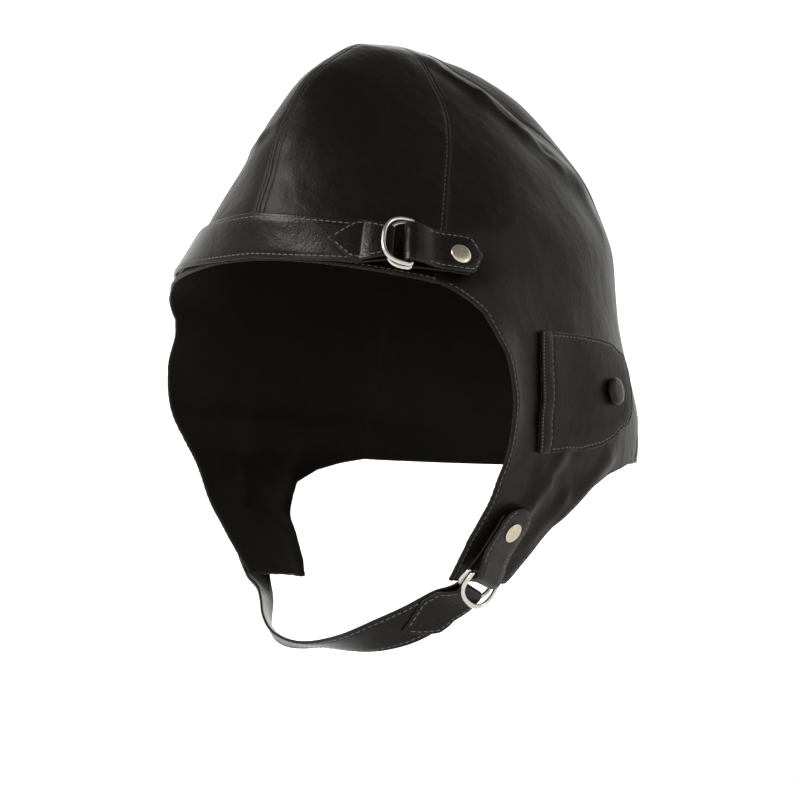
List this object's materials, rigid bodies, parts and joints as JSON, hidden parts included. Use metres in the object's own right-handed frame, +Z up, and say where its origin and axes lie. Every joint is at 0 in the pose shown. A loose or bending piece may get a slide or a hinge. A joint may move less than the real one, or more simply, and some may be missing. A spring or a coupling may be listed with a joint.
{
  "type": "aviator cap",
  "caption": "Soft leather flying cap in its worn shape, with long ear flaps, ear pockets, a brow band and a chin strap fastened by D-rings.",
  "frame": {"origin": "inside of the crown's apex, where the six crown pieces meet and the cap sits on a head", "axes": "+Z up, -Y the way the face looks, +X the wearer's left"},
  "size_m": [0.192, 0.2234, 0.2635],
  "materials": {
    "cap_leather": "satin, fine grain, worn sheen",
    "strap_leather": "glossy with a fine grain",
    "ring_metal": "polished nickel",
    "rivet_metal": "pale, lightly worn"
  },
  "bodies": {
    "root": {"front_panel_left": "cap_leather", "side_panel_left": "cap_leather", "back_panel_left": "cap_leather", "ear_pocket_left": "cap_leather", "pocket_snap_left": "cap_leather", "front_panel_right": "cap_leather", "side_panel_right": "cap_leather", "back_panel_right": "cap_leather", "ear_pocket_right": "cap_leather", "pocket_snap_right": "cap_leather", "brow_band": "strap_leather", "brow_tab": "strap_leather", "chin_strap": "strap_leather", "chin_tab": "strap_leather", "brow_ring_outer": "ring_metal", "brow_ring_inner": "ring_metal", "chin_ring_outer": "ring_metal", "chin_ring_inner": "ring_metal", "brow_rivet": "rivet_metal", "chin_rivet": "rivet_metal"}
  },
  "joints": []
}
